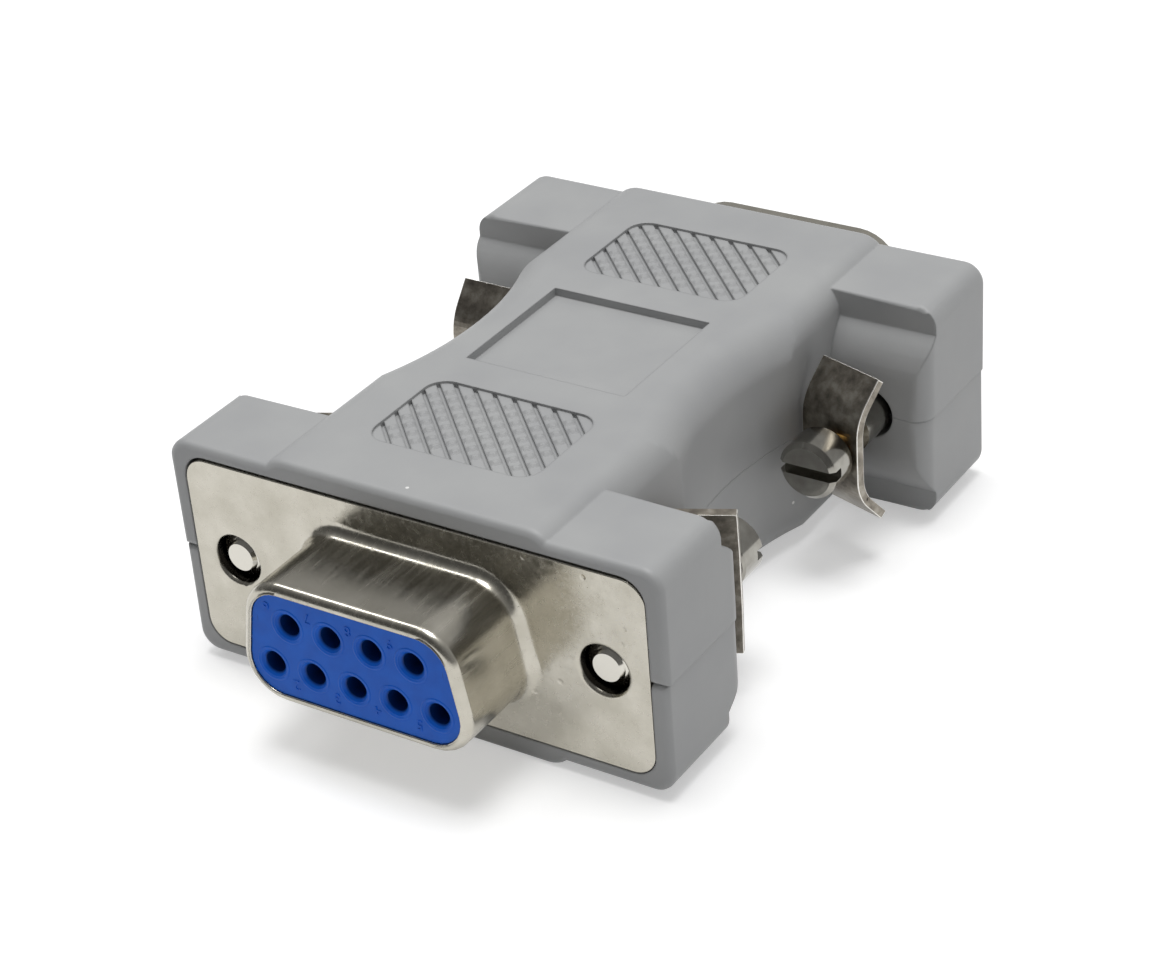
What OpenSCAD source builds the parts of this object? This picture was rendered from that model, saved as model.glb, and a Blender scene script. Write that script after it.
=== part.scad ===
// Adapter with a nine-way D-sub socket at one end and a fifteen-way D-sub plug at the other.
// Two moulded half shells hold both connectors and four captive jackscrews with spring clips.
// Millimetres. X is the width, Y the length (socket at -Y, plug at +Y), Z up, resting on Z = 0.

/* [Show] */

// Which piece to draw

/* [Hood] */

// Length of the moulded hood
hood_length = 38.8; // [36:0.1:42]
// Half height of the raised middle of the hood
hood_half_height = 7.7; // [7.6:0.1:8.2]
// Half width of the hood beside the ears
hood_half_width = 10; // [9.9:0.1:10.6]
// Half width of the hood at its waist
waist_half_width = 9; // [8.6:0.1:9.2]
// Plan radius of the waist
waist_radius = 22; // [20:1:60]
// Rounding of the long edges at the waist
waist_edge_radius = 2.6; // [2:0.1:3.2]
// Rounding of the long edges at both ends
end_edge_radius = 1.9; // [1:0.1:2.2]

/* [Ears] */

// Half width over the ears
ear_half_width = 16.5; // [16.4:0.1:17]
// Half height of the ears
ear_half_height = 7.2; // [7:0.1:7.5]
// Depth of the ears at top and bottom, socket end
socket_ear_depth = 6.2; // [6.1:0.1:6.8]
// Depth of the ears at top and bottom, plug end
plug_ear_depth = 6.8; // [6.1:0.1:7.2]
// Depth of the ears at the screw boss
boss_depth = 8.2; // [7.8:0.1:8.4]
// Corner rounding of the ears
ear_corner_radius = 1.3; // [0.8:0.1:2]

/* [Grips and label] */

// Depth of the grip pads
pad_depth = 0.36; // [0.2:0.05:0.6]
// Depth of the label recess
label_depth = 0.5; // [0.3:0.05:0.8]

/* [Jackscrews] */

// Radius of the slotted heads
head_radius = 1.9; // [1.6:0.05:2]
// Length of the slotted heads
head_length = 2.4; // [2:0.1:3]
// Distance from the screw bosses to the back of the two heads at the socket end
socket_screw_gap = 3.8; // [3.7:0.1:4.2]
// Distance from the screw bosses to the back of the two heads at the plug end
plug_screw_gap = 5.5; // [5:0.1:5.6]

/* [Spring clips] */

// Width of each clip
clip_width = 4.6; // [4:0.1:4.6]
// Height of each clip
clip_height = 9.3; // [8:0.1:9.6]
// Turn of the clips at the socket end about the vertical
socket_clip_turn = 25; // [0:1:25]
// Turn of the right clip at the plug end about the vertical
plug_clip_turn = 17; // [0:1:17]
// Bend of the clip ends at the socket end
socket_clip_bend = 9; // [4:1:20]
// Bend of the clip ends at the plug end
plug_clip_bend = 41; // [20:1:44]

/* [Smoothness] */

// Facets of large rounds
round_facets = 64; // [48:4:96]

/* [Hidden] */

eps = 0.01;
over = 1;
half_length = hood_length / 2;

// D-sub size E flange
flange_width = 30.81;
flange_height = 12.55;
flange_corner = 1.5;
flange_sheet = 0.6;
flange_pack = 2 * flange_sheet;
flange_fit = 0.05;
flange_top_gap = 0.2;
screw_spacing = 24.99;
screw_x = screw_spacing / 2;
flange_hole_radius = 1.525;
side_angle = 10;
shell_reach = 6;
shell_root = 0.8;

// Socket shell and face, outside sizes
socket_width = 16.33;
socket_height = 7.9;
socket_corner = 2.6;
socket_wall = 0.6;
socket_rim = 0.55;
socket_row_margin = 2.625;
socket_pitch = (socket_width - 2 * socket_row_margin) / 4;
socket_row_half = 1.42;
socket_face_back = 0.12;
socket_lead_radius = 0.88;
socket_mouth_radius = 0.66;
socket_barrel_radius = 0.74;
socket_bore_radius = 0.5;
socket_bore_depth = 5.5;
socket_set_back = 2.4;
tine_gap = 0.2;

// Plug shell and pins, outside sizes
plug_wall = 0.45;
plug_rim = 0.3;
plug_inside_width = 16.92;
plug_inside_height = 8.36;
plug_width = plug_inside_width + 2 * plug_wall;
plug_height = plug_inside_height + 2 * plug_wall;
plug_corner = 3;
plug_pitch = 2.29;
plug_row_step = 1.98;
plug_row_shift = plug_pitch / 4;
pin_radius = 0.38;
pin_reach = 5.4;

// Rear tub and the insulator backs, shared by both ends
tub_extra = 2.87;
tub_width = socket_width + tub_extra;
tub_height = 10.6;
tub_corner = 2.8;
tub_wall = 0.4;
tub_end = 5.8;
insulator_joint = 3;
insulator_fit = 0.03;
collar_length = 0.6;
collar_extra = 0.2;
contact_fit = 0.02;
cup_start = 6.4;
cup_end = 9;
cup_depth = 2.2;
cup_wall = 0.16;

// Wires
wire_radius = 0.48;
core_radius = 0.2;
wire_strip = 0.3;

// Angle that the waist is cut through, past both of its ends
waist_sweep = 60;

// Hood inside
cavity_inset = 0.865;
cavity_half_width = socket_width / 2 - cavity_inset;
cavity_half_height = 5.8;
tub_room = 0.1;
tub_gap = 0.2;

// Grips and label plan sizes
pad_half_width = 5.65;
pad_start = 7.6;
pad_end = 15;
pad_corner = 1.3;
pad_places = [-(pad_start + pad_end) / 2, (pad_start + pad_end) / 2];
label_half_width = 5.45;
label_half_length = 4.85;
grip_step = 0.68;
grip_pitch = grip_step * sqrt(2);
grip_width = 0.72;
grip_height = 0.22;
bead_foot = 0.42;
bead_top = 0.2;
bead_height = 0.13;
bead_margin = 0.3;

// Ear back profile, heights above the parting line
boss_top = 2.3;
boss_round_top = 4.2;
boss_slope_top = 5.5;
boss_round_steps = 7;
ear_back_radius = 1.2;
lower_inset = 0.1;

// Jackscrew
thread_radius = 1.42;
thread_pitch = 0.635;
thread_depth = 0.34;
neck_radius = 0.95;
neck_length = 3;
undercut_radius = 1.1;
rib_radius = undercut_radius + 0.08;
screw_bore_radius = 1.7;
socket_screw_seat = boss_depth + socket_screw_gap;
plug_screw_seat = boss_depth + plug_screw_gap;
rib_start = 4.4;
rib_end = 5.8;
travel_in = 0.5;
travel_out = 1.9;
travel_gap = 0.05;
tip_at = 0.3;
tip_chamfer = 0.2;
slot_width = 0.65;
slot_depth = 0.9;
head_chamfer = 0.3;

// Spring clip
clip_sheet = 0.55;
clip_flat_half = 1.4;
clip_bend_radius = 3;
clip_bend_steps = 8;
clip_hole_radius = 1.35;
clip_slack = 0.06;
socket_clip_gap = 1.6;
socket_clip_seat = socket_screw_seat - socket_clip_gap;
plug_clip_seat = plug_screw_seat - head_radius * sin(plug_clip_turn) - clip_slack;

// Colours
hood_grey = [0.62, 0.62, 0.61];
plated_steel = [0.78, 0.77, 0.74];
blue_insulator = [0.11, 0.33, 0.66];
gold_contact = [0.83, 0.68, 0.34];
clip_steel = [0.66, 0.64, 0.6];
wire_green = [0.16, 0.45, 0.26];

function socket_xz(i) = i <= 5
    ? [(i - 3) * socket_pitch, -socket_row_half]
    : [(i - 7.5) * socket_pitch, socket_row_half];
function plug_row(i) = floor((i - 1) / 5);
function plug_xz(i) = [
    ((i - 1) % 5 - 2) * plug_pitch + (plug_row(i) == 1 ? -plug_row_shift : plug_row_shift),
    (plug_row(i) - 1) * plug_row_step
];

// Pin that each wire ends on: the five lower contacts take the lower row, the four upper ones the upper row
function wire_pin(i) = i <= 5 ? i : i + 5;

// Corner points of a D outline with its wide side down, grown outwards by "grow"
function d_corner(w, h) = [
    [-w / 2, -h / 2],
    [w / 2, -h / 2],
    [w / 2 - h * tan(side_angle), h / 2],
    [-w / 2 + h * tan(side_angle), h / 2]
];
function unit(v) = v / norm(v);
function arc_centre(p, a, b, r) =
    let (u = unit(a - p), v = unit(b - p), half = acos(u * v) / 2)
    p + unit(u + v) * r / sin(half);
function corner_arc(p, a, b, r, grow, steps) =
    let (
        c = arc_centre(p, a, b, r),
        na = [(p - a)[1], -(p - a)[0]],
        nb = [(b - p)[1], -(b - p)[0]],
        t0 = atan2(na[1], na[0]),
        t1 = atan2(nb[1], nb[0]),
        t2 = t1 < t0 ? t1 + 360 : t1
    )
    [for (k = [0 : steps]) let (t = t0 + (t2 - t0) * k / steps) c + (r + grow) * [cos(t), sin(t)]];
function d_outline(w, h, r, grow = 0, steps = 7) =
    let (q = d_corner(w, h))
    [for (k = [0 : 3]) each corner_arc(q[k], q[(k + 3) % 4], q[(k + 1) % 4], r, grow, steps)];

// Turns a drawing in the XY plane into a slab that stands in XZ and runs along +Y from y0 to y1
module along_y(y0, y1) {
    translate([0, y1, 0])
        rotate([90, 0, 0])
            linear_extrude(height = y1 - y0)
                children();
}

// Places a connector-end piece: depth 0 is the flange face, depth grows into the hood
module at_end(end) {
    if (end == "socket") {
        translate([0, -half_length, hood_half_height])
            children();
    } else {
        translate([0, half_length, hood_half_height])
            mirror([0, 1, 0])
                children();
    }
}

module centred() {
    translate([0, 0, hood_half_height])
        children();
}

// Closed solid through equal-sized rings, each [depth, points], with flat ends
module ring_solid(rings) {
    n = len(rings[0][1]);
    m = len(rings);
    points = [for (r = rings) for (p = r[1]) [p[0], r[0], p[1]]];
    sides = [
        for (k = [0 : m - 2], i = [0 : n - 1])
            let (a = k * n, b = a + n, j = (i + 1) % n)
            [a + i, b + i, b + j, a + j]
    ];
    first_end = [for (i = [0 : n - 1]) i];
    last_end = [for (i = [n - 1 : -1 : 0]) (m - 1) * n + i];
    polyhedron(points = points, faces = concat([first_end], sides, [last_end]));
}

module round_plate(w, h, r) {
    union() {
        square([w - 2 * r, h], center = true);
        square([w, h - 2 * r], center = true);
        for (sx = [-1, 1], sy = [-1, 1])
            translate([sx * (w / 2 - r), sy * (h / 2 - r)])
                circle(r, $fn = 32);
    }
}

// Hood

// Room that the waist takes from one side of the upper half, turned about a far vertical axis
module waist_room(side) {
    top_line = hood_half_height - waist_edge_radius;
    translate([side * (waist_half_width + waist_radius), 0, 0])
        rotate([0, 0, (side > 0 ? 180 : 0) - waist_sweep / 2])
            rotate_extrude(angle = waist_sweep, $fn = round_facets * 4)
                union() {
                    translate([waist_radius / 2, -over])
                        square([waist_radius / 2, hood_half_height + 2 * over]);
                    difference() {
                        translate([waist_radius - eps, top_line])
                            square([waist_edge_radius + eps, waist_edge_radius + over]);
                        translate([waist_radius + waist_edge_radius, top_line])
                            circle(waist_edge_radius, $fn = round_facets);
                    }
                }
}

module centre_profile() {
    r = end_edge_radius;
    union() {
        translate([-hood_half_width, 0])
            square([2 * hood_half_width, hood_half_height - r]);
        translate([-hood_half_width + r, 0])
            square([2 * (hood_half_width - r), hood_half_height]);
        for (s = [-1, 1])
            translate([s * (hood_half_width - r), hood_half_height - r])
                circle(r, $fn = round_facets);
    }
}

module centre_block() {
    difference() {
        along_y(-half_length, half_length)
            centre_profile();
        for (side = [-1, 1])
            waist_room(side);
    }
}

module ear_front_outline(half_width) {
    r = ear_corner_radius;
    union() {
        square([half_width, ear_half_height - r]);
        square([half_width - r, ear_half_height]);
        translate([half_width - r, ear_half_height - r])
            circle(r, $fn = round_facets);
    }
}

// Side outline: a step that rounds over from the depth at the top to the depth of the boss
module ear_side_outline(top_depth) {
    round_over = [
        for (k = [0 : boss_round_steps])
            let (t = k / boss_round_steps)
            (1 - t) * (1 - t) * [boss_depth, boss_top]
                + 2 * t * (1 - t) * [boss_depth, boss_round_top]
                + t * t * [top_depth, boss_slope_top]
    ];
    polygon(concat(
        [[0, 0], [boss_depth, 0]],
        round_over,
        [[top_depth, ear_half_height + over], [0, ear_half_height + over]]
    ));
}

module ear_plan(half_width) {
    r = ear_back_radius;
    union() {
        square([half_width - r, boss_depth + over]);
        square([half_width, boss_depth - r]);
        translate([half_width - r, boss_depth - r])
            circle(r, $fn = round_facets);
    }
}

// One ear of the upper half at depth 0, on the +X side
module ear(half_width, top_depth) {
    intersection() {
        along_y(0, boss_depth)
            ear_front_outline(half_width);
        rotate([90, 0, 90])
            linear_extrude(height = half_width)
                ear_side_outline(top_depth);
        linear_extrude(height = ear_half_height)
            ear_plan(half_width);
    }
}

module end_recess(plate_gap) {
    fit = flange_fit;
    along_y(-eps, flange_pack)
        round_plate(flange_width + 2 * fit, flange_height + 2 * plate_gap, flange_corner + fit);
    along_y(0, tub_end + tub_gap)
        round_plate(tub_width + 2 * tub_room, tub_height + 2 * tub_room, tub_corner - 0.6);
    for (s = [-1, 1])
        translate([s * screw_x, 0, 0]) {
            along_y(0, rib_start)
                circle(screw_bore_radius, $fn = 32);
            along_y(0, boss_depth)
                circle(rib_radius, $fn = 32);
            along_y(rib_end, boss_depth + over)
                circle(screw_bore_radius, $fn = 32);
        }
}

module pad_outline() {
    round_plate(2 * pad_half_width, pad_end - pad_start, pad_corner);
}

function bead_inside(x, y) =
    let (
        ax = max(0, abs(x) - (pad_half_width - pad_corner)),
        ay = max(0, abs(y) - ((pad_end - pad_start) / 2 - pad_corner))
    )
    norm([ax, ay]) < pad_corner - bead_margin;

// Diagonal ribs across a pad at the origin, with a row of small square-footed bumps along each
module grips() {
    columns = ceil(pad_half_width / grip_step);
    rows = floor((pad_end - pad_start) / grip_step / 2);
    reach = ceil((columns + rows) / 2);
    floor_z = hood_half_height - pad_depth;
    intersection() {
        translate([0, 0, floor_z - eps])
            linear_extrude(height = grip_height + eps)
                pad_outline();
        for (k = [-reach : reach])
            translate([0, 0, floor_z - eps])
                rotate([0, 0, -45])
                    translate([-2 * pad_half_width, k * grip_pitch - grip_width / 2, 0])
                        cube([4 * pad_half_width, grip_width, grip_height + eps]);
    }
    for (c = [-columns : columns], r = [-rows : rows])
        if ((c + r) % 2 == 0 && bead_inside(c * grip_step, r * grip_step))
            translate([c * grip_step, r * grip_step, floor_z + grip_height - eps])
                cylinder(h = bead_height + eps, r1 = bead_foot, r2 = bead_top, $fn = 4);
}

// Upper half shell about the parting line; the lower half is the same moulding, a little narrower
module half_shell(half_width, plate_gap) {
    difference() {
        union() {
            centre_block();
            for (t = [0, 1])
                mirror([0, t, 0])
                    translate([0, -half_length, 0])
                        for (s = [0, 1])
                            mirror([s, 0, 0])
                                ear(half_width, t == 0 ? socket_ear_depth : plug_ear_depth);
        }
        for (t = [0, 1])
            mirror([0, t, 0])
                translate([0, -half_length, 0])
                    end_recess(plate_gap);
        for (y = pad_places)
            translate([0, y, hood_half_height - pad_depth])
                linear_extrude(height = pad_depth + over)
                    pad_outline();
        translate([-cavity_half_width, -half_length + tub_end, -over])
            cube([2 * cavity_half_width, hood_length - 2 * tub_end, cavity_half_height + over]);
        translate([-label_half_width, -label_half_length, hood_half_height - label_depth])
            cube([2 * label_half_width, 2 * label_half_length, label_depth + over]);
        translate([-2 * hood_half_width, -hood_length, -hood_half_height])
            cube([4 * hood_half_width, 2 * hood_length, hood_half_height]);
    }
    for (y = pad_places)
        translate([0, y, 0])
            grips();
}

module hood_upper() {
    color(hood_grey)
        centred()
            half_shell(ear_half_width, flange_top_gap);
}

module hood_lower() {
    color(hood_grey)
        centred()
            mirror([0, 0, 1])
                half_shell(ear_half_width - lower_inset, flange_fit);
}

// Connector shells

module flange_holes(depth0, depth1, r) {
    for (s = [-1, 1])
        translate([s * screw_x, 0, 0])
            along_y(depth0, depth1)
                circle(r, $fn = 32);
}

// Rounded lip at the front of each flange hole
module hole_lip() {
    lip = 0.3;
    for (s = [-1, 1])
        translate([s * screw_x, 0, 0])
            rotate([-90, 0, 0])
                rotate_extrude($fn = 32)
                    difference() {
                        translate([0, -eps])
                            square([flange_hole_radius + lip, lip + eps]);
                        translate([flange_hole_radius + lip, lip])
                            circle(lip, $fn = 32);
                    }
}

// Outside of a drawn shell, with a filleted root and a rounded rim
module drawn_form(w, h, r, rim) {
    root = shell_root;
    root_rings = [for (k = [0 : 5]) let (t = 90 * k / 5) [-root * (1 - cos(t)), root * (1 - sin(t))]];
    rim_rings = [for (k = [0 : 5]) let (t = 90 * k / 5) [-shell_reach + rim * (1 - sin(t)), -rim * (1 - cos(t))]];
    profile = concat([[flange_sheet / 2, root]], root_rings, rim_rings);
    ring_solid([for (q = profile) [q[0], d_outline(w, h, r, q[1])]]);
}

// Flange and drawn shell in one sheet, the shell standing out of the flange at negative depth
module front_shell(w, h, r, wall, rim) {
    difference() {
        union() {
            along_y(0, flange_sheet)
                round_plate(flange_width, flange_height, flange_corner);
            drawn_form(w, h, r, rim);
        }
        along_y(-shell_reach - over, flange_sheet + over)
            polygon(d_outline(w, h, r, -wall));
        flange_holes(-over, flange_sheet + over, flange_hole_radius);
        hole_lip();
    }
}

module socket_front_shell() {
    color(plated_steel)
        at_end("socket")
            front_shell(socket_width, socket_height, socket_corner, socket_wall, socket_rim);
}

module plug_front_shell() {
    color(plated_steel)
        at_end("plug")
            front_shell(plug_width, plug_height, plug_corner, plug_wall, plug_rim);
}

module rear_shell() {
    difference() {
        union() {
            along_y(flange_sheet, flange_pack)
                round_plate(flange_width, flange_height, flange_corner);
            along_y(flange_sheet, tub_end)
                polygon(d_outline(tub_width, tub_height, tub_corner));
        }
        along_y(0, tub_end + over)
            polygon(d_outline(tub_width, tub_height, tub_corner, -tub_wall));
        flange_holes(0, tub_end, flange_hole_radius);
    }
}

module socket_rear_shell() {
    color(plated_steel)
        at_end("socket")
            rear_shell();
}

module plug_rear_shell() {
    color(plated_steel)
        at_end("plug")
            rear_shell();
}

// Insulators

module insulator_back_profile() {
    polygon(d_outline(tub_width, tub_height, tub_corner, -tub_wall - insulator_fit));
}

module contact_hole(xz, y0, y1, r) {
    translate([xz[0], 0, xz[1]])
        along_y(y0, y1)
            circle(r, $fn = 20);
}

module socket_face_insulator() {
    face = -shell_reach + socket_face_back;
    lead = socket_lead_radius - socket_mouth_radius;
    barrel_from = face + socket_set_back;
    color(blue_insulator)
        at_end("socket")
            difference() {
                union() {
                    along_y(face, flange_sheet)
                        polygon(d_outline(socket_width, socket_height, socket_corner, -socket_wall - insulator_fit));
                    along_y(flange_sheet, insulator_joint)
                        insulator_back_profile();
                }
                for (i = [1 : 9]) {
                    xz = socket_xz(i);
                    translate([xz[0], face - eps, xz[1]])
                        rotate([-90, 0, 0])
                            cylinder(h = lead + eps, r1 = socket_lead_radius, r2 = socket_mouth_radius, $fn = 28);
                    contact_hole(xz, face, insulator_joint + over, socket_mouth_radius);
                    contact_hole(xz, barrel_from, insulator_joint + over, socket_barrel_radius + contact_fit);
                    contact_hole(xz, insulator_joint - collar_length, insulator_joint + over,
                        socket_barrel_radius + collar_extra + contact_fit);
                }
            }
}

module socket_back_insulator() {
    color(blue_insulator)
        at_end("socket")
            difference() {
                along_y(insulator_joint, tub_end)
                    insulator_back_profile();
                for (i = [1 : 9])
                    contact_hole(socket_xz(i), 0, tub_end + over, socket_barrel_radius + contact_fit);
            }
}

module plug_face_insulator() {
    color(blue_insulator)
        at_end("plug")
            difference() {
                union() {
                    along_y(0, flange_sheet)
                        polygon(d_outline(plug_width, plug_height, plug_corner, -plug_wall - insulator_fit));
                    along_y(flange_sheet, insulator_joint)
                        insulator_back_profile();
                }
                for (i = [1 : 15]) {
                    contact_hole(plug_xz(i), -over, insulator_joint, pin_radius + contact_fit);
                    contact_hole(plug_xz(i), insulator_joint - collar_length, insulator_joint + over,
                        pin_radius + collar_extra + contact_fit);
                }
            }
}

module plug_back_insulator() {
    color(blue_insulator)
        at_end("plug")
            difference() {
                along_y(insulator_joint, tub_end)
                    insulator_back_profile();
                for (i = [1 : 15])
                    contact_hole(plug_xz(i), 0, tub_end + over, pin_radius + contact_fit);
            }
}

// Contacts

module turned(profile) {
    rotate([-90, 0, 0])
        rotate_extrude($fn = 20)
            polygon(profile);
}

module solder_cup(r) {
    difference() {
        turned([[0, cup_start - eps], [r, cup_start - eps], [r, cup_end], [0, cup_end]]);
        translate([0, cup_end - cup_depth, 0])
            rotate([-90, 0, 0])
                cylinder(h = cup_depth + over, r = r - cup_wall, $fn = 20);
        translate([-over, cup_end - cup_depth * 0.7, cup_wall / 2])
            cube([2 * over, cup_depth, over]);
    }
}

module socket_contact(i) {
    r = socket_barrel_radius;
    start = -shell_reach + socket_face_back + socket_set_back;
    bore = socket_bore_depth;
    xz = socket_xz(i);
    color(gold_contact)
        at_end("socket")
            translate([xz[0], 0, xz[1]])
                union() {
                    difference() {
                        turned([
                            [0, start], [r - 0.08, start], [r, start + 0.08], [r, insulator_joint - collar_length],
                            [r + collar_extra, insulator_joint - collar_length], [r + collar_extra, insulator_joint],
                            [r, insulator_joint], [r, cup_start], [0, cup_start]
                        ]);
                        translate([0, start - over, 0])
                            rotate([-90, 0, 0])
                                cylinder(h = bore + over, r = socket_bore_radius, $fn = 20);
                        translate([-tine_gap / 2, start - over, -over])
                            cube([tine_gap, bore * 0.7 + over, 2 * over]);
                    }
                    solder_cup(r);
                }
}

module plug_pin(i) {
    r = pin_radius;
    back = r + collar_extra * 0.6;
    xz = plug_xz(i);
    color(gold_contact)
        at_end("plug")
            translate([xz[0], 0, xz[1]])
                union() {
                    turned([
                        [0, -pin_reach], [r * 0.45, -pin_reach + 0.03], [r * 0.8, -pin_reach + 0.16],
                        [r, -pin_reach + 0.5], [r, insulator_joint - collar_length],
                        [r + collar_extra, insulator_joint - collar_length], [r + collar_extra, insulator_joint],
                        [r, insulator_joint], [r, cup_start], [0, cup_start]
                    ]);
                    solder_cup(back);
                }
}

// Wires between the two connectors

module wire(i) {
    from = socket_xz(i);
    to = plug_xz(wire_pin(i));
    cup_middle = half_length - cup_end + cup_depth / 2;
    a = [from[0], -cup_middle, from[1]];
    b = [to[0], cup_middle, to[1]];
    d = b - a;
    length = norm(d);
    core = cup_depth / 2 - 0.06;
    coat = cup_depth / 2 + wire_strip;
    color(wire_green)
        centred()
            translate(a)
                rotate([0, acos(d[2] / length), atan2(d[1], d[0])])
                    rotate_extrude($fn = 20)
                        polygon([
                            [0, -core], [core_radius, -core], [core_radius, coat], [wire_radius, coat],
                            [wire_radius, length - coat], [core_radius, length - coat],
                            [core_radius, length + core], [0, length + core]
                        ]);
}

// Jackscrews

// Screw with the back of its head at depth "seat"; every depth below is measured at the socket end's seat
module screw_body(seat) {
    shift = seat - socket_screw_seat;
    head_back = socket_screw_seat;
    shaft_start = head_back - neck_length;
    undercut_end = rib_end + travel_in + travel_gap;
    undercut_start = rib_start - travel_out - travel_gap;
    turns = floor((undercut_start - tip_at - tip_chamfer) / thread_pitch);
    core = thread_radius - thread_depth;
    tip_end = tip_at + tip_chamfer;
    crests = [
        for (k = [0 : turns - 1], q = [[0, core], [0.22, thread_radius], [0.4, thread_radius], [0.62, core]])
            [q[1], tip_end + k * thread_pitch + q[0]]
    ];
    translate([0, shift, 0])
        difference() {
            rotate([-90, 0, 0])
                rotate_extrude($fn = 40)
                    polygon(concat(
                        [[0, tip_at], [core - tip_chamfer, tip_at], [core, tip_end]],
                        crests,
                        [
                            [core, undercut_start - 0.2], [thread_radius, undercut_start - 0.15],
                            [thread_radius, undercut_start],
                            [undercut_radius, undercut_start], [undercut_radius, undercut_end],
                            [thread_radius, undercut_end], [thread_radius, shaft_start],
                            [neck_radius, shaft_start + 0.2], [neck_radius, head_back],
                            [head_radius - 0.15, head_back], [head_radius, head_back + 0.15],
                            [head_radius, head_back + head_length - head_chamfer],
                            [head_radius - head_chamfer, head_back + head_length],
                            [0, head_back + head_length]
                        ]
                    ));
            translate([-head_radius - over, head_back + head_length - slot_depth, -slot_width / 2])
                cube([2 * (head_radius + over), slot_depth + over, slot_width]);
        }
}

module screw(end, side) {
    color(plated_steel)
        at_end(end)
            translate([side * screw_x, 0, 0])
                screw_body(end == "socket" ? socket_screw_seat : plug_screw_seat);
}

// Spring clips

// Middle line of the clip in its side view, from the centre up: [toward the ear, height]
function clip_line(angle) =
    let (
        n = clip_bend_steps,
        bend = [for (k = [0 : n]) let (t = angle * k / n)
            [clip_bend_radius * (1 - cos(t)), clip_flat_half + clip_bend_radius * sin(t)]],
        last = bend[n],
        rest = (clip_height / 2 - last[1]) / cos(angle)
    )
    concat([[0, 0]], bend, [last + rest * [sin(angle), cos(angle)]]);
function clip_normal(k, angle) =
    let (t = angle * min(k - 1, clip_bend_steps) / clip_bend_steps) [cos(t), -sin(t)];

module clip_side_view(angle) {
    line = clip_line(angle);
    n = len(line);
    near_side = [for (k = [1 : n - 1]) line[k] - clip_normal(k, angle) * clip_sheet / 2];
    far_side = [for (k = [1 : n - 1]) line[k] + clip_normal(k, angle) * clip_sheet / 2];
    polygon(concat(
        [for (k = [n - 2 : -1 : 0]) [near_side[k][0], -near_side[k][1]]],
        near_side,
        [for (k = [n - 2 : -1 : 0]) far_side[k]],
        [for (q = far_side) [q[0], -q[1]]]
    ));
}

// Clip with the face toward the screw head at depth 0, bending toward the ear at negative depth
module clip_body(angle) {
    difference() {
        translate([-clip_width / 2, -clip_sheet / 2, 0])
            rotate([90, 0, 90])
                linear_extrude(height = clip_width)
                    mirror([1, 0])
                        clip_side_view(angle);
        translate([0, -clip_sheet - over, 0])
            rotate([-90, 0, 0])
                cylinder(h = clip_sheet + 2 * over, r = clip_hole_radius, $fn = 32);
    }
}

module clip(end, side) {
    seat = end == "socket" ? socket_clip_seat : plug_clip_seat;
    turn = end == "socket" ? socket_clip_turn : side > 0 ? plug_clip_turn : 0;
    angle = end == "socket" ? socket_clip_bend : plug_clip_bend;
    color(clip_steel)
        at_end(end)
            translate([side * screw_x, seat, 0])
                rotate([0, 0, turn])
                    clip_body(angle);
}

hood_upper();
hood_lower();
socket_front_shell();
socket_rear_shell();
socket_face_insulator();
socket_back_insulator();
plug_front_shell();
plug_rear_shell();
plug_face_insulator();
plug_back_insulator();
for (i = [1 : 9]) socket_contact(i);
for (i = [1 : 15]) plug_pin(i);
for (i = [1 : 9]) wire(i);
screw("socket", -1);  // screw_socket_left
screw("socket", 1);  // screw_socket_right
screw("plug", -1);  // screw_plug_left
screw("plug", 1);  // screw_plug_right
clip("socket", -1);  // clip_socket_left
clip("socket", 1);  // clip_socket_right
clip("plug", -1);  // clip_plug_left
clip("plug", 1);  // clip_plug_right
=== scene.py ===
import math

import bmesh
import bpy
from mathutils import Euler, Matrix, Vector


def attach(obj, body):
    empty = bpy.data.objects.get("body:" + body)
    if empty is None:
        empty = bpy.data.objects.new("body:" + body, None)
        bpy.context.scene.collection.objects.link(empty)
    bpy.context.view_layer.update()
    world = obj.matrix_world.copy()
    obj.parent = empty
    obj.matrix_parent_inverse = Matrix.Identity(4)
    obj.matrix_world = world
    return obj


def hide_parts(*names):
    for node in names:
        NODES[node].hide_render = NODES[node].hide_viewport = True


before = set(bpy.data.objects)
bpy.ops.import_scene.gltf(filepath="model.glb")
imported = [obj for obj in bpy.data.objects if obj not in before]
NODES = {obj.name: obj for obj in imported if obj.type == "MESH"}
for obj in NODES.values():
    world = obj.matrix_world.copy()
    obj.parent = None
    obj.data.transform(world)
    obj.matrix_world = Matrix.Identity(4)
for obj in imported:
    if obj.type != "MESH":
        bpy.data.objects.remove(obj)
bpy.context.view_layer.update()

MM = 0.001
HOOD_HALVES = ["hood_upper", "hood_lower"]
CORNERS = ["socket_left", "socket_right", "plug_left", "plug_right"]

# Places taken from the part: connector centre height, socket face and contact spacing, in mm
CENTRE_Z = 7.7
HALF_LENGTH = 19.4
FACE_Y = -25.28
PITCH = 2.77
ROW_HALF = 1.42
SCREW_X = 12.495
HOLE_RADIUS = 1.525
CONTACTS = range(1, 10)
LAST_OF_LOWER_ROW = 5

# Jackscrew in mm: the neck's radius, then where the neck with its painted brassy reflection and the tip
# with its painted highlight lie along it, from the middle of the part
NECK_RADIUS = 1.05
NECK_START = 5.65
NECK_END = 10.5
TIP_START = 18.6

# Rounding of sheet steel's edges, and height of the rings and digits on the socket's face, in mm
SHELL_EDGE = 0.06
RAISED = 0.03


# Materials

def linear(hex_colour):
    """Linear colour of an sRGB hex value."""
    parts = [int(hex_colour[i:i + 2], 16) / 255 for i in (1, 3, 5)]
    return tuple(c / 12.92 if c <= 0.04045 else ((c + 0.055) / 1.055) ** 2.4 for c in parts) + (1.0,)


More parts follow.
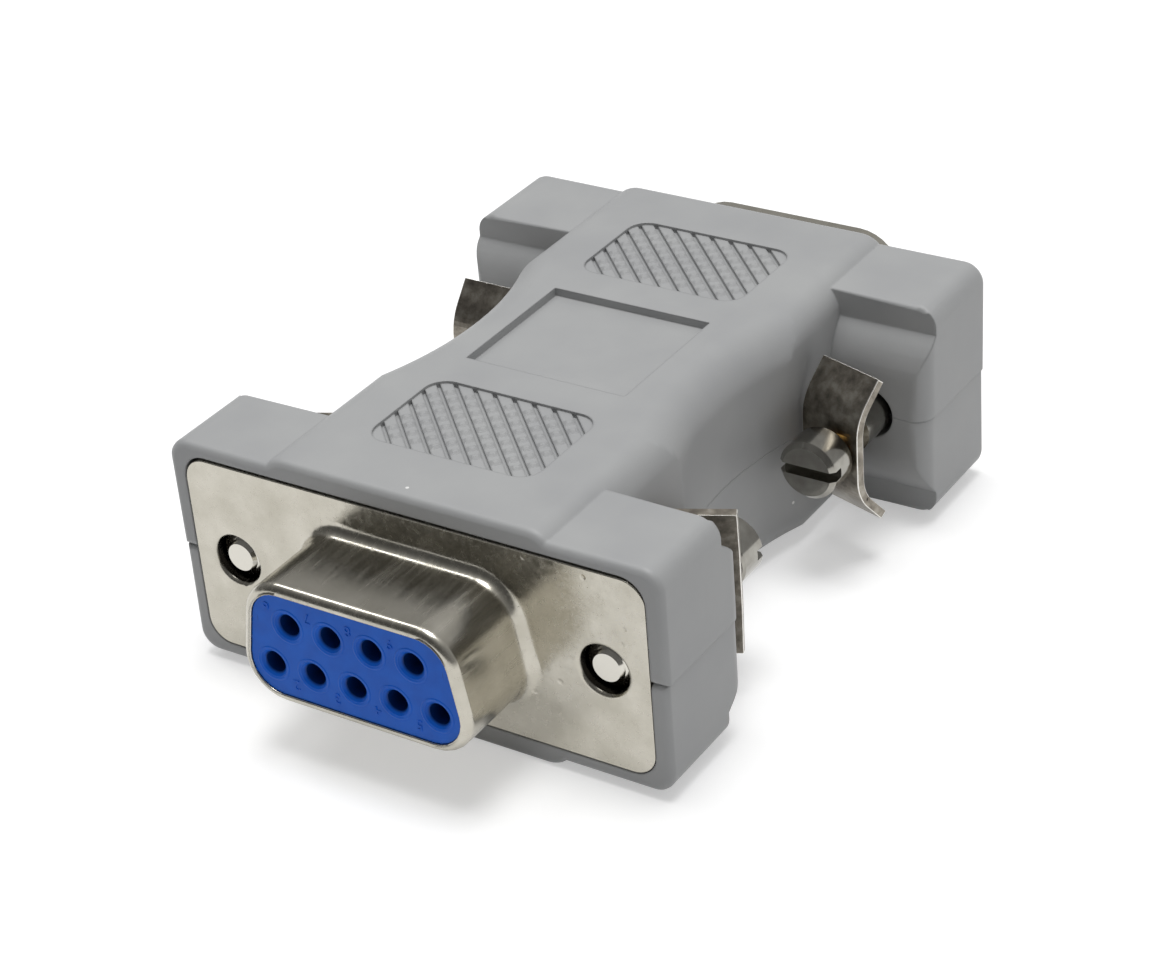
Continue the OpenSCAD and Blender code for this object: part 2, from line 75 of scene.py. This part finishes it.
def node(tree, kind, inputs=None, **settings):
    """Adds one shader node with its settings; an input is a value, or the output that feeds it."""
    made = tree.nodes.new("ShaderNode" + kind)
    for name, value in settings.items():
        setattr(made, name, value)
    for name, value in (inputs or {}).items():
        if isinstance(value, bpy.types.NodeSocket):
            tree.links.new(value, made.inputs[name])
        else:
            made.inputs[name].default_value = value
    return made


def ramp(tree, factor, *stops):
    """Colour ramp through (position, grey or colour) stops."""
    made = node(tree, "ValToRGB", {"Fac": factor})
    band = made.color_ramp
    band.elements[0].position = stops[0][0]
    band.elements[-1].position = stops[-1][0]
    for place, _ in stops[1:-1]:
        band.elements.new(place)
    for stop, (_, value) in zip(band.elements, stops):
        stop.color = value if isinstance(value, tuple) else (value, value, value, 1)
    return made.outputs["Color"]


def start_material(name):
    """A new material, its empty node tree and the object's coordinates in mm."""
    material = bpy.data.materials.new(name)
    material.use_nodes = True
    tree = material.node_tree
    tree.nodes.clear()
    place = node(tree, "TexCoord").outputs["Object"]
    mm = node(tree, "VectorMath", {0: place, "Scale": 1 / MM}, operation="SCALE").outputs["Vector"]
    return material, tree, mm


def end_material(tree, shader):
    node(tree, "OutputMaterial", {"Surface": shader.outputs[0]})


def from_screw_axis(tree, parts):
    """Distance in mm from the nearer jackscrew axis."""
    across = node(tree, "Math", {0: parts.outputs["X"]}, operation="ABSOLUTE").outputs[0]
    off_x = node(tree, "Math", {0: across, 1: SCREW_X}, operation="SUBTRACT").outputs[0]
    off_z = node(tree, "Math", {0: parts.outputs["Z"], 1: CENTRE_Z}, operation="SUBTRACT").outputs[0]
    radial = node(tree, "CombineXYZ", {"X": off_x, "Y": off_z})
    return node(tree, "VectorMath", {0: radial.outputs[0]}, operation="LENGTH").outputs["Value"]


def moulded_abs():
    """Moulded ABS, spark-eroded satin: even grey, faint clouding, a fine grain that softens highlights."""
    material, tree, mm = start_material("moulded_abs")
    clouds = node(tree, "TexNoise", {"Vector": mm, "Scale": 0.22, "Detail": 3}).outputs["Fac"]
    tint = ramp(tree, clouds, (0.3, linear("#A2A3A4")), (0.7, linear("#A9AAAA")))
    # Dust: a speck of about 0.1 mm radius in a few of the cells
    cells = node(tree, "TexVoronoi", {"Vector": mm, "Scale": 0.3}, feature="F1")
    near = node(tree, "Math", {0: cells.outputs["Distance"], 1: 0.035}, operation="LESS_THAN").outputs[0]
    pick = node(tree, "SeparateColor", {"Color": cells.outputs["Color"]}).outputs[0]
    chosen = node(tree, "Math", {0: pick, 1: 0.9}, operation="GREATER_THAN").outputs[0]
    speck = node(tree, "Math", {0: near, 1: chosen}, operation="MULTIPLY").outputs[0]
    colour = node(tree, "Mix", {"Factor": speck, "A": tint, "B": linear("#E8E8E6")}, data_type="RGBA")
    # Spark grain is about 0.1 mm, drawn at 0.16 mm so that it shows
    grain = node(tree, "TexNoise", {"Vector": mm, "Scale": 1 / 0.16, "Detail": 2}).outputs["Fac"]
    gloss = node(tree, "MapRange", {"Value": clouds, "To Min": 0.42, "To Max": 0.52}).outputs[0]
    # Every moulded corner is a little rounded or filleted
    corners = node(tree, "Bevel", {"Radius": 0.22 * MM}, samples=4).outputs[0]
    bump = node(tree, "Bump", {
        "Height": grain, "Strength": 0.1, "Distance": 0.02 * MM, "Normal": corners}).outputs[0]
    shader = node(tree, "BsdfPrincipled", {
        "Base Color": colour.outputs["Result"], "Roughness": gloss, "IOR": 1.53, "Normal": bump})
    end_material(tree, shader)
    return material


def drawn_nickel():
    """Nickel plate over drawn steel: warm silver, faint draw streaks along the shell, a few pits."""
    material, tree, mm = start_material("drawn_nickel_plate")
    streak_place = node(tree, "VectorMath", {
        0: mm, 1: (1.0, 0.12, 1.0)}, operation="MULTIPLY").outputs["Vector"]
    streaks = node(tree, "TexNoise", {"Vector": streak_place, "Scale": 1 / 0.35, "Detail": 3}).outputs["Fac"]
    clouds = node(tree, "TexNoise", {"Vector": mm, "Scale": 0.5, "Detail": 4}).outputs["Fac"]
    colour = ramp(tree, clouds, (0.3, linear("#B3AFA3")), (0.7, linear("#C3BFB4")))
    rough = node(tree, "MapRange", {
        "Value": streaks, "From Min": 0.3, "From Max": 0.7, "To Min": 0.16, "To Max": 0.3}).outputs[0]
    # Painted shade: inside the screw holes the plate is painted nearly black below the rolled lip
    parts = node(tree, "SeparateXYZ", {"Vector": mm})
    radius = from_screw_axis(tree, parts)
    painted_hole_shade = node(tree, "MapRange", {
        "Value": radius, "From Min": HOLE_RADIUS + 0.09, "From Max": HOLE_RADIUS + 0.01}).outputs[0]
    colour = node(tree, "Mix", {
        "Factor": painted_hole_shade, "A": colour, "B": linear("#1E1C19")}, data_type="RGBA").outputs["Result"]
    # Pits of about 0.3 mm in a few of the 2 mm cells of the flange
    flat = node(tree, "CombineXYZ", {"X": parts.outputs["X"], "Y": parts.outputs["Z"]}).outputs[0]
    pits = node(tree, "TexVoronoi", {"Vector": flat, "Scale": 0.5}, voronoi_dimensions="2D", feature="F1")
    pick = node(tree, "SeparateColor", {"Color": pits.outputs["Color"]}).outputs[0]
    chosen = node(tree, "Math", {0: pick, 1: 0.8}, operation="GREATER_THAN").outputs[0]
    dip = node(tree, "MapRange", {
        "Value": pits.outputs["Distance"], "From Min": 0.1, "From Max": 0.04}).outputs[0]
    pit = node(tree, "Math", {0: dip, 1: chosen}, operation="MULTIPLY").outputs[0]
    height = node(tree, "Math", {0: streaks, 1: 0.1}, operation="MULTIPLY").outputs[0]
    height = node(tree, "Math", {0: height, 1: pit}, operation="SUBTRACT").outputs[0]
    bump = node(tree, "Bump", {"Height": height, "Strength": 0.5, "Distance": 0.04 * MM}).outputs[0]
    shader = node(tree, "BsdfPrincipled", {
        "Base Color": colour, "Metallic": 1.0, "Roughness": rough, "Normal": bump})
    end_material(tree, shader)
    return material


def glass_filled_pbt():
    """Moulded glass-filled PBT: strong blue, slightly clouded, low gloss, fine ripple, painted shade in the
    holes.
    """
    material, tree, mm = start_material("glass_filled_pbt")
    clouds = node(tree, "TexNoise", {"Vector": mm, "Scale": 0.8, "Detail": 4}).outputs["Fac"]
    colour = ramp(tree, clouds, (0.3, linear("#0560D2")), (0.7, linear("#0C6AE0")))
    # Distance to the nearest hole of the socket: the upper row is shifted by half a pitch
    parts = node(tree, "SeparateXYZ", {"Vector": mm})
    upper = node(tree, "Math", {0: parts.outputs["Z"], 1: CENTRE_Z}, operation="GREATER_THAN").outputs[0]
    along_row = node(tree, "Math", {
        0: upper, 1: PITCH / 2, 2: parts.outputs["X"]}, operation="MULTIPLY_ADD").outputs[0]
    off_x = node(tree, "Math", {0: along_row, 1: PITCH / 2}, operation="PINGPONG").outputs[0]
    off_z = node(tree, "Math", {0: parts.outputs["Z"], 1: CENTRE_Z}, operation="SUBTRACT").outputs[0]
    off_z = node(tree, "Math", {0: off_z}, operation="ABSOLUTE").outputs[0]
    off_z = node(tree, "Math", {0: off_z, 1: ROW_HALF}, operation="SUBTRACT").outputs[0]
    from_hole = node(tree, "CombineXYZ", {"X": off_x, "Y": off_z})
    radius = node(tree, "VectorMath", {0: from_hole.outputs[0]}, operation="LENGTH").outputs["Value"]
    near_hole = node(tree, "MapRange", {"Value": radius, "From Min": 0.76, "From Max": 0.62}).outputs[0]
    across = node(tree, "Math", {0: parts.outputs["X"]}, operation="ABSOLUTE").outputs[0]
    in_rows = node(tree, "Math", {0: across, 1: 2.25 * PITCH}, operation="LESS_THAN").outputs[0]
    socket_end = node(tree, "Math", {0: parts.outputs["Y"], 1: 0.0}, operation="LESS_THAN").outputs[0]
    of_socket = node(tree, "Math", {0: in_rows, 1: socket_end}, operation="MULTIPLY").outputs[0]
    painted_hole_shade = node(tree, "Math", {0: near_hole, 1: of_socket}, operation="MULTIPLY").outputs[0]
    # Painted shade: the socket's contact holes are painted nearly black
    colour = node(tree, "Mix", {
        "Factor": painted_hole_shade, "A": colour, "B": linear("#04070C")}, data_type="RGBA").outputs["Result"]
    ripple = node(tree, "TexNoise", {"Vector": mm, "Scale": 1 / 0.2, "Detail": 2}).outputs["Fac"]
    bump = node(tree, "Bump", {"Height": ripple, "Strength": 0.12, "Distance": 0.02 * MM}).outputs[0]
    gloss = node(tree, "MapRange", {"Value": clouds, "To Min": 0.34, "To Max": 0.44}).outputs[0]
    shader = node(tree, "BsdfPrincipled", {
        "Base Color": colour, "Roughness": gloss, "IOR": 1.55, "Specular IOR Level": 0.2, "Normal": bump})
    end_material(tree, shader)
    return material


def gold_flash():
    """Gold flash over turned phosphor bronze: warm yellow, fine turning rings round each contact."""
    material, tree, mm = start_material("gold_flash")
    ring_place = node(tree, "VectorMath", {0: mm, 1: (0.1, 1.0, 0.1)}, operation="MULTIPLY").outputs["Vector"]
    rings = node(tree, "TexNoise", {"Vector": ring_place, "Scale": 1 / 0.12, "Detail": 2}).outputs["Fac"]
    colour = ramp(tree, rings, (0.3, linear("#D8B15E")), (0.7, linear("#E6C478")))
    rough = node(tree, "MapRange", {"Value": rings, "To Min": 0.2, "To Max": 0.32}).outputs[0]
    shader = node(tree, "BsdfPrincipled", {"Base Color": colour, "Metallic": 1.0, "Roughness": rough})
    end_material(tree, shader)
    return material


def plated_screw():
    """Nickel-plated turned steel: bright heads, fine turning rings, a painted brassy reflection on the neck.
    """
    material, tree, mm = start_material("plated_screw_steel")
    parts = node(tree, "SeparateXYZ", {"Vector": mm})
    radius = from_screw_axis(tree, parts)
    along = node(tree, "Math", {0: parts.outputs["Y"]}, operation="ABSOLUTE").outputs[0]
    thin = node(tree, "Math", {0: radius, 1: NECK_RADIUS}, operation="LESS_THAN").outputs[0]
    behind_head = node(tree, "Math", {0: along, 1: NECK_START}, operation="GREATER_THAN").outputs[0]
    before_shaft = node(tree, "Math", {0: along, 1: NECK_END}, operation="LESS_THAN").outputs[0]
    both = node(tree, "Math", {0: behind_head, 1: before_shaft}, operation="MULTIPLY").outputs[0]
    neck = node(tree, "Math", {0: both, 1: thin}, operation="MULTIPLY").outputs[0]
    clouds = node(tree, "TexNoise", {"Vector": mm, "Scale": 1.4, "Detail": 4}).outputs["Fac"]
    # Painted shade and highlight: the plate is darkened for the shade the heads reflect, and the tip is
    # painted paler as its lit copy
    plate = ramp(tree, clouds, (0.3, linear("#8F8C85")), (0.7, linear("#A19F98")))
    painted_tip_highlight = node(tree, "Math", {0: along, 1: TIP_START}, operation="GREATER_THAN").outputs[0]
    plate = node(tree, "Mix", {
        "Factor": painted_tip_highlight, "A": plate, "B": linear("#CFCCC3")}, data_type="RGBA").outputs["Result"]
    # Painted reflection: the neck is painted brassy, for the warm reflection seen in it
    painted_brass_reflection = ramp(tree, clouds, (0.3, linear("#B08A4A")), (0.7, linear("#CDA763")))
    colour = node(tree, "Mix", {"Factor": neck, "A": plate, "B": painted_brass_reflection}, data_type="RGBA").outputs["Result"]
    turning = node(tree, "MapRange", {
        "Value": radius, "From Max": 1.0, "To Max": 1 / 0.09}, clamp=False).outputs[0]
    rings = node(tree, "Math", {0: turning}, operation="SINE").outputs[0]
    height = node(tree, "Math", {0: rings, 1: 0.15, 2: clouds}, operation="MULTIPLY_ADD").outputs[0]
    bump = node(tree, "Bump", {"Height": height, "Strength": 0.2, "Distance": 0.02 * MM}).outputs[0]
    rough = node(tree, "MapRange", {"Value": clouds, "To Min": 0.1, "To Max": 0.2}).outputs[0]
    shader = node(tree, "BsdfPrincipled", {
        "Base Color": colour, "Metallic": 1.0, "Roughness": rough, "Normal": bump})
    end_material(tree, shader)
    return material


def spring_steel():
    """Stamped spring steel under a thin plate: brownish grey, mottled by heat, a satin grain."""
    material, tree, mm = start_material("stamped_spring_steel")
    mottle = node(tree, "TexNoise", {
        "Vector": mm, "Scale": 1.1, "Detail": 5, "Roughness": 0.65}).outputs["Fac"]
    colour = ramp(
        tree, mottle, (0.32, linear("#6E6860")), (0.5, linear("#8B857B")), (0.68, linear("#A8A399")))
    grain = node(tree, "TexNoise", {"Vector": mm, "Scale": 1 / 0.14, "Detail": 2}).outputs["Fac"]
    rough = node(tree, "MapRange", {"Value": mottle, "To Min": 0.26, "To Max": 0.46}).outputs[0]
    bump = node(tree, "Bump", {"Height": grain, "Strength": 0.15, "Distance": 0.02 * MM}).outputs[0]
    shader = node(tree, "BsdfPrincipled", {
        "Base Color": colour, "Metallic": 1.0, "Roughness": rough, "Normal": bump})
    end_material(tree, shader)
    return material


def cut_steel():
    """Sheared spring steel: bare metal along the stamped edges, painted near white as a painted highlight."""
    material, tree, mm = start_material("sheared_edge_painted_highlight")
    nicks = node(tree, "TexNoise", {"Vector": mm, "Scale": 1 / 0.25, "Detail": 3}).outputs["Fac"]
    # Painted highlight: the cut edges are painted near white on top of their bare metal
    colour = ramp(tree, nicks, (0.3, linear("#DAD7CF")), (0.7, linear("#F0EEE9")))
    rough = node(tree, "MapRange", {"Value": nicks, "To Min": 0.22, "To Max": 0.36}).outputs[0]
    shader = node(tree, "BsdfPrincipled", {"Base Color": colour, "Metallic": 1.0, "Roughness": rough})
    end_material(tree, shader)
    return material


def extruded_pvc():
    """Extruded PVC insulation: soft green with faint draw lines along each wire."""
    material, tree, mm = start_material("extruded_pvc")
    line_place = node(tree, "VectorMath", {
        0: mm, 1: (1.0, 0.08, 1.0)}, operation="MULTIPLY").outputs["Vector"]
    lines = node(tree, "TexNoise", {"Vector": line_place, "Scale": 1 / 0.3, "Detail": 2}).outputs["Fac"]
    colour = ramp(tree, lines, (0.3, linear("#27693F")), (0.7, linear("#2F7A4A")))
    gloss = node(tree, "MapRange", {"Value": lines, "To Min": 0.38, "To Max": 0.5}).outputs[0]
    shader = node(tree, "BsdfPrincipled", {"Base Color": colour, "Roughness": gloss, "IOR": 1.54})
    end_material(tree, shader)
    return material


def studio_floor():
    """Matt white paper: plain white that keeps the soft shadow."""
    material, tree, mm = start_material("white_paper")
    fibres = node(tree, "TexNoise", {"Vector": mm, "Scale": 0.5, "Detail": 2}).outputs["Fac"]
    colour = ramp(tree, fibres, (0.3, 0.7), (0.7, 0.72))
    paper = node(tree, "BsdfDiffuse", {"Color": colour})
    soft = node(tree, "BsdfDiffuse", {"Color": (0.7, 0.7, 0.7, 1)})
    glow = node(tree, "Emission", {"Color": (1, 1, 1, 1), "Strength": 0.42})
    lifted = node(tree, "AddShader", {0: soft.outputs[0], 1: glow.outputs[0]})
    path = node(tree, "LightPath")
    seen = path.outputs["Is Camera Ray"]
    for ray in ("Is Glossy Ray", "Is Transmission Ray"):
        seen = node(tree, "Math", {0: seen, 1: path.outputs[ray]}, operation="MAXIMUM").outputs[0]
    both = node(tree, "MixShader", {0: seen, 1: paper.outputs[0], 2: lifted.outputs[0]})
    end_material(tree, both)
    return material


ABS = moulded_abs()
NICKEL = drawn_nickel()
PBT = glass_filled_pbt()
GOLD = gold_flash()
SCREW = plated_screw()
SPRING = spring_steel()
SHEARED_EDGE_HIGHLIGHT = cut_steel()
PVC = extruded_pvc()

FINISHES = [
    ("hood_", ABS),
    ("socket_front_shell", NICKEL), ("socket_rear_shell", NICKEL),
    ("plug_front_shell", NICKEL), ("plug_rear_shell", NICKEL),
    ("socket_contact_", GOLD), ("plug_pin_", GOLD),
    ("screw_", SCREW), ("clip_", SPRING), ("wire_", PVC),
    ("socket_", PBT), ("plug_", PBT),
]


def finish_of(name):
    return next(material for start, material in FINISHES if name.startswith(start))


for name, thing in NODES.items():
    thing.data.materials.clear()
    thing.data.materials.append(finish_of(name))


# Pieces

def new_piece(name, mesh_builder, material):
    """Object from a bmesh in mm, riding on the housing."""
    mesh = bpy.data.meshes.new(name)
    mesh_builder.to_mesh(mesh)
    mesh_builder.free()
    mesh.transform(Matrix.Scale(MM, 4))
    mesh.materials.append(material)
    thing = bpy.data.objects.new(name, mesh)
    bpy.context.scene.collection.objects.link(thing)
    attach(thing, "housing")
    return thing


def contact_place(number):
    """Centre of one socket contact, x and z in mm."""
    if number <= LAST_OF_LOWER_ROW:
        return (number - 3) * PITCH, CENTRE_Z - ROW_HALF
    return (number - 7.5) * PITCH, CENTRE_Z + ROW_HALF


def raised_rings():
    """Low rounded ring moulded round each contact hole."""
    mesh = bmesh.new()
    turns, sides, radius, width, sunk = 40, 8, 1.02, 0.09, 0.01
    for number in CONTACTS:
        x, z = contact_place(number)
        loops = []
        for i in range(turns):
            a = 2 * math.pi * i / turns
            loop = []
            for k in range(sides + 1):
                b = math.pi * k / sides
                r = radius + width * math.cos(b)
                y = FACE_Y + sunk - (RAISED + sunk) * math.sin(b)
                loop.append(mesh.verts.new((x + r * math.cos(a), y, z + r * math.sin(a))))
            loops.append(loop)
        for i in range(turns):
            one, two = loops[i], loops[(i + 1) % turns]
            for k in range(sides):
                mesh.faces.new((one[k], one[k + 1], two[k + 1], two[k])).smooth = True
    bmesh.ops.recalc_face_normals(mesh, faces=mesh.faces)
    return new_piece("raised_hole_rings", mesh, PBT)


def raised_digits():
    """Contact numbers moulded upside down beside the holes, as on the real face."""
    merged = bmesh.new()
    for number in CONTACTS:
        x, z = contact_place(number)
        shift = (-1.3, -1.0) if number <= LAST_OF_LOWER_ROW else (-1.34, 0.98)
        curve = bpy.data.curves.new("digit", "FONT")
        curve.body = str(number)
        curve.size = 0.95
        curve.extrude = RAISED
        curve.resolution_u = 4
        curve.align_x = "CENTER"
        curve.align_y = "CENTER"
        text = bpy.data.objects.new("digit", curve)
        bpy.context.scene.collection.objects.link(text)
        bpy.context.view_layer.update()
        flat = bpy.data.meshes.new_from_object(text.evaluated_get(bpy.context.evaluated_depsgraph_get()))
        turn = Matrix.Translation((x + shift[0], FACE_Y - 0.01, z + shift[1])) \
            @ Euler((math.radians(90), 0, 0)).to_matrix().to_4x4() @ Matrix.Rotation(math.pi, 4, "Z")
        flat.transform(turn)
        merged.from_mesh(flat)
        bpy.data.objects.remove(text)
        bpy.data.curves.remove(curve)
        bpy.data.meshes.remove(flat)
    return new_piece("raised_contact_numbers", merged, PBT)


raised_rings()
raised_digits()


# Soft edges

HOOD_EDGE = 0.4
EAR_BACK_EDGE = 0.3
END_FACE_Y = HALF_LENGTH - 0.02
END_FACE_SIDE_X = 15.7
END_FACE_TOP_Z = 6.75
EAR_INNER_X = 10.2
EAR_TOP_Z = 7.0
WELD_DISTANCE = 0.002
FLAT_ANGLE = 0.4
ROUNDED_ANGLE = 24
SHARP_ANGLE = 25
CLIP_EDGE_ANGLE = 30


def hood_edge_width(x, y, z):
    """Rounding of a convex hood edge in mm, from its middle point; z is the height over the parting line."""
    x, y, z = abs(x), abs(y), abs(z)
    if y > END_FACE_Y:
        return HOOD_EDGE if x > END_FACE_SIDE_X or z > END_FACE_TOP_Z else 0
    if x > EAR_INNER_X and z > EAR_TOP_Z:
        return EAR_BACK_EDGE
    return 0


def shell_edge_width(x, y, z):
    """Cut edges of a drawn shell are barely broken."""
    return SHELL_EDGE


def dressed(name, edge_width, material, largest):
    """The CAD solid as one smooth skin with rounded edges; it stands for the node."""
    mesh = bmesh.new()
    mesh.from_mesh(NODES[name].data)
    bmesh.ops.remove_doubles(mesh, verts=mesh.verts[:], dist=WELD_DISTANCE * MM)
    bmesh.ops.dissolve_limit(
        mesh, angle_limit=math.radians(FLAT_ANGLE), verts=mesh.verts[:], edges=mesh.edges[:])
    weight = mesh.edges.layers.float.new("bevel_weight_edge")
    for edge in mesh.edges:
        if edge.is_manifold and edge.calc_face_angle_signed() > math.radians(ROUNDED_ANGLE):
            middle = (edge.verts[0].co + edge.verts[1].co) / 2 / MM
            edge[weight] = edge_width(middle.x, middle.y, middle.z - CENTRE_Z) / largest
    for face in mesh.faces:
        face.smooth = True
        face.material_index = 0
    skin = bpy.data.meshes.new(name + "_skin")
    mesh.to_mesh(skin)
    mesh.free()
    if "custom_normal" in skin.attributes:
        skin.attributes.remove(skin.attributes["custom_normal"])
    skin.set_sharp_from_angle(angle=math.radians(SHARP_ANGLE))
    skin.materials.append(material)
    thing = bpy.data.objects.new(name + "_skin", skin)
    bpy.context.scene.collection.objects.link(thing)
    bevel = thing.modifiers.new("edge_rounding", "BEVEL")
    bevel.width = largest * MM
    bevel.segments = 3
    bevel.limit_method = "WEIGHT"
    bevel.use_clamp_overlap = False
    even = thing.modifiers.new("even_shading", "WEIGHTED_NORMAL")
    even.keep_sharp = True
    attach(thing, "housing")
    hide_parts(name)
    return thing


def soften_clip(clip):
    """Welds a clip and breaks its edges to bare metal with a painted highlight by modifiers; the mesh itself
    stays as it is.
    """
    weld = clip.modifiers.new("weld", "WELD")
    weld.merge_threshold = WELD_DISTANCE * MM
    bevel = clip.modifiers.new("edge_rounding", "BEVEL")
    bevel.width = SHELL_EDGE * MM
    bevel.segments = 2
    bevel.limit_method = "ANGLE"
    bevel.angle_limit = math.radians(CLIP_EDGE_ANGLE)
    bevel.harden_normals = True
    clip.data.materials.append(SHEARED_EDGE_HIGHLIGHT)
    bevel.material = 1


for name in HOOD_HALVES:
    dressed(name, hood_edge_width, ABS, HOOD_EDGE)
for name in ("socket_front_shell", "plug_front_shell"):
    dressed(name, shell_edge_width, NICKEL, SHELL_EDGE)
for corner in CORNERS:
    soften_clip(NODES["clip_" + corner])


# Studio

def aim(thing, target):
    thing.rotation_euler = (Vector(target) - thing.location).to_track_quat("-Z", "Y").to_euler()


def build_floor():
    mesh = bpy.data.meshes.new("floor")
    reach = 1.5
    corners = [(-reach, -reach, 0), (reach, -reach, 0), (reach, reach, 0), (-reach, reach, 0)]
    mesh.from_pydata(corners, [], [(0, 1, 2, 3)])
    mesh.materials.append(studio_floor())
    floor = bpy.data.objects.new("floor", mesh)
    bpy.context.scene.collection.objects.link(floor)


def build_world():
    """A studio that is brightest overhead and dimmest towards the front."""
    world = bpy.data.worlds.new("studio")
    bpy.context.scene.world = world
    world.use_nodes = True
    tree = world.node_tree
    tree.nodes.clear()
    way = node(tree, "TexCoord").outputs["Generated"]
    parts = node(tree, "SeparateXYZ", {"Vector": way})
    height = ramp(
        tree, parts.outputs["Z"], (0.0, 0.42), (0.45, 0.46), (0.7, 0.52), (0.85, 0.8), (1.0, 0.9))
    front = node(tree, "VectorMath", {
        0: way, 1: (-0.25, -0.97, 0.0)}, operation="DOT_PRODUCT").outputs["Value"]
    dim = node(tree, "MapRange", {
        "Value": front, "From Min": -0.8, "From Max": 0.8, "To Min": 0.95, "To Max": 0.22})
    lit = node(tree, "VectorMath", {0: height, "Scale": dim.outputs[0]}, operation="SCALE").outputs["Vector"]
    room = node(tree, "Background", {"Color": lit, "Strength": 1.0})
    node(tree, "OutputWorld", {"Surface": room.outputs[0]})


def soft_box(name, place, size, power, target=(0, 0, 5 * MM)):
    lamp = bpy.data.lights.new(name, "AREA")
    lamp.shape = "RECTANGLE"
    lamp.size, lamp.size_y = size
    lamp.energy = power
    thing = bpy.data.objects.new(name, lamp)
    thing.location = place
    aim(thing, target)
    bpy.context.scene.collection.objects.link(thing)


def build_camera():
    data = bpy.data.cameras.new("camera")
    data.sensor_width = 36
    data.lens = 89.1029
    data.clip_start = 0.005
    data.clip_end = 10
    camera = bpy.data.objects.new("camera", data)
    camera.location = (83.8796 * MM, -123.0046 * MM, 95.2838 * MM)
    camera.rotation_euler = tuple(math.radians(a) for a in (58.85923, 4.15163, 32.32313))
    bpy.context.scene.collection.objects.link(camera)
    bpy.context.scene.camera = camera


build_floor()
build_world()
soft_box("key_overhead", (0.02, 0.03, 1.3), (0.6, 0.6), 10.4)
soft_box("strip_left", (-0.78, 0.15, 1.27), (0.25, 0.5), 2.6)
build_camera()
bpy.context.scene.view_settings.view_transform = "Standard"
